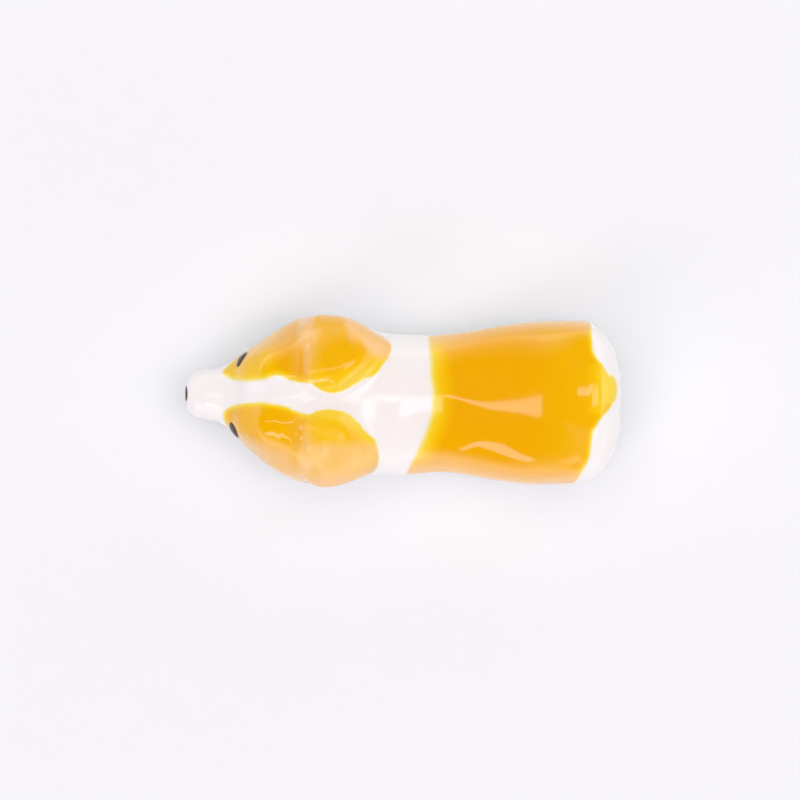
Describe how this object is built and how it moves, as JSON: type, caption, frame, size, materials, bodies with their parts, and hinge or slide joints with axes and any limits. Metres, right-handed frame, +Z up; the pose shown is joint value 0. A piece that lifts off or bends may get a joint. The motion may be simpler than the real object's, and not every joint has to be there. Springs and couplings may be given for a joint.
{
  "type": "chopstick rest",
  "caption": "Glazed ceramic rest in the form of a small dog lying on its belly, with a dipped back that holds chopsticks or cutlery off the table.",
  "frame": {"origin": "middle of the figure's length and breadth, in the plane of the table it lies on", "axes": "+X from the nose towards the rump, +Y towards the dog's right side (the picture's upper side), +Z up from the table"},
  "size_m": [0.0612, 0.0243, 0.0193],
  "materials": {
    "white_glaze": "white porcelain under clear gloss glaze, unglazed foot",
    "orange_glaze": "orange-yellow colour glaze under gloss, thinner and yellower at its borders",
    "black_enamel": "raised beads of gloss black enamel"
  },
  "bodies": {
    "root": {"torso": "white_glaze", "head": "white_glaze", "right_ear": "orange_glaze", "left_ear": "orange_glaze", "front_right_paw": "white_glaze", "front_left_paw": "white_glaze", "hind_right_foot": "white_glaze", "hind_left_foot": "white_glaze", "tail": "orange_glaze", "saddle_glaze": "orange_glaze", "right_face_glaze": "orange_glaze", "left_face_glaze": "orange_glaze", "right_eye": "black_enamel", "left_eye": "black_enamel", "nose": "black_enamel"}
  },
  "joints": []
}
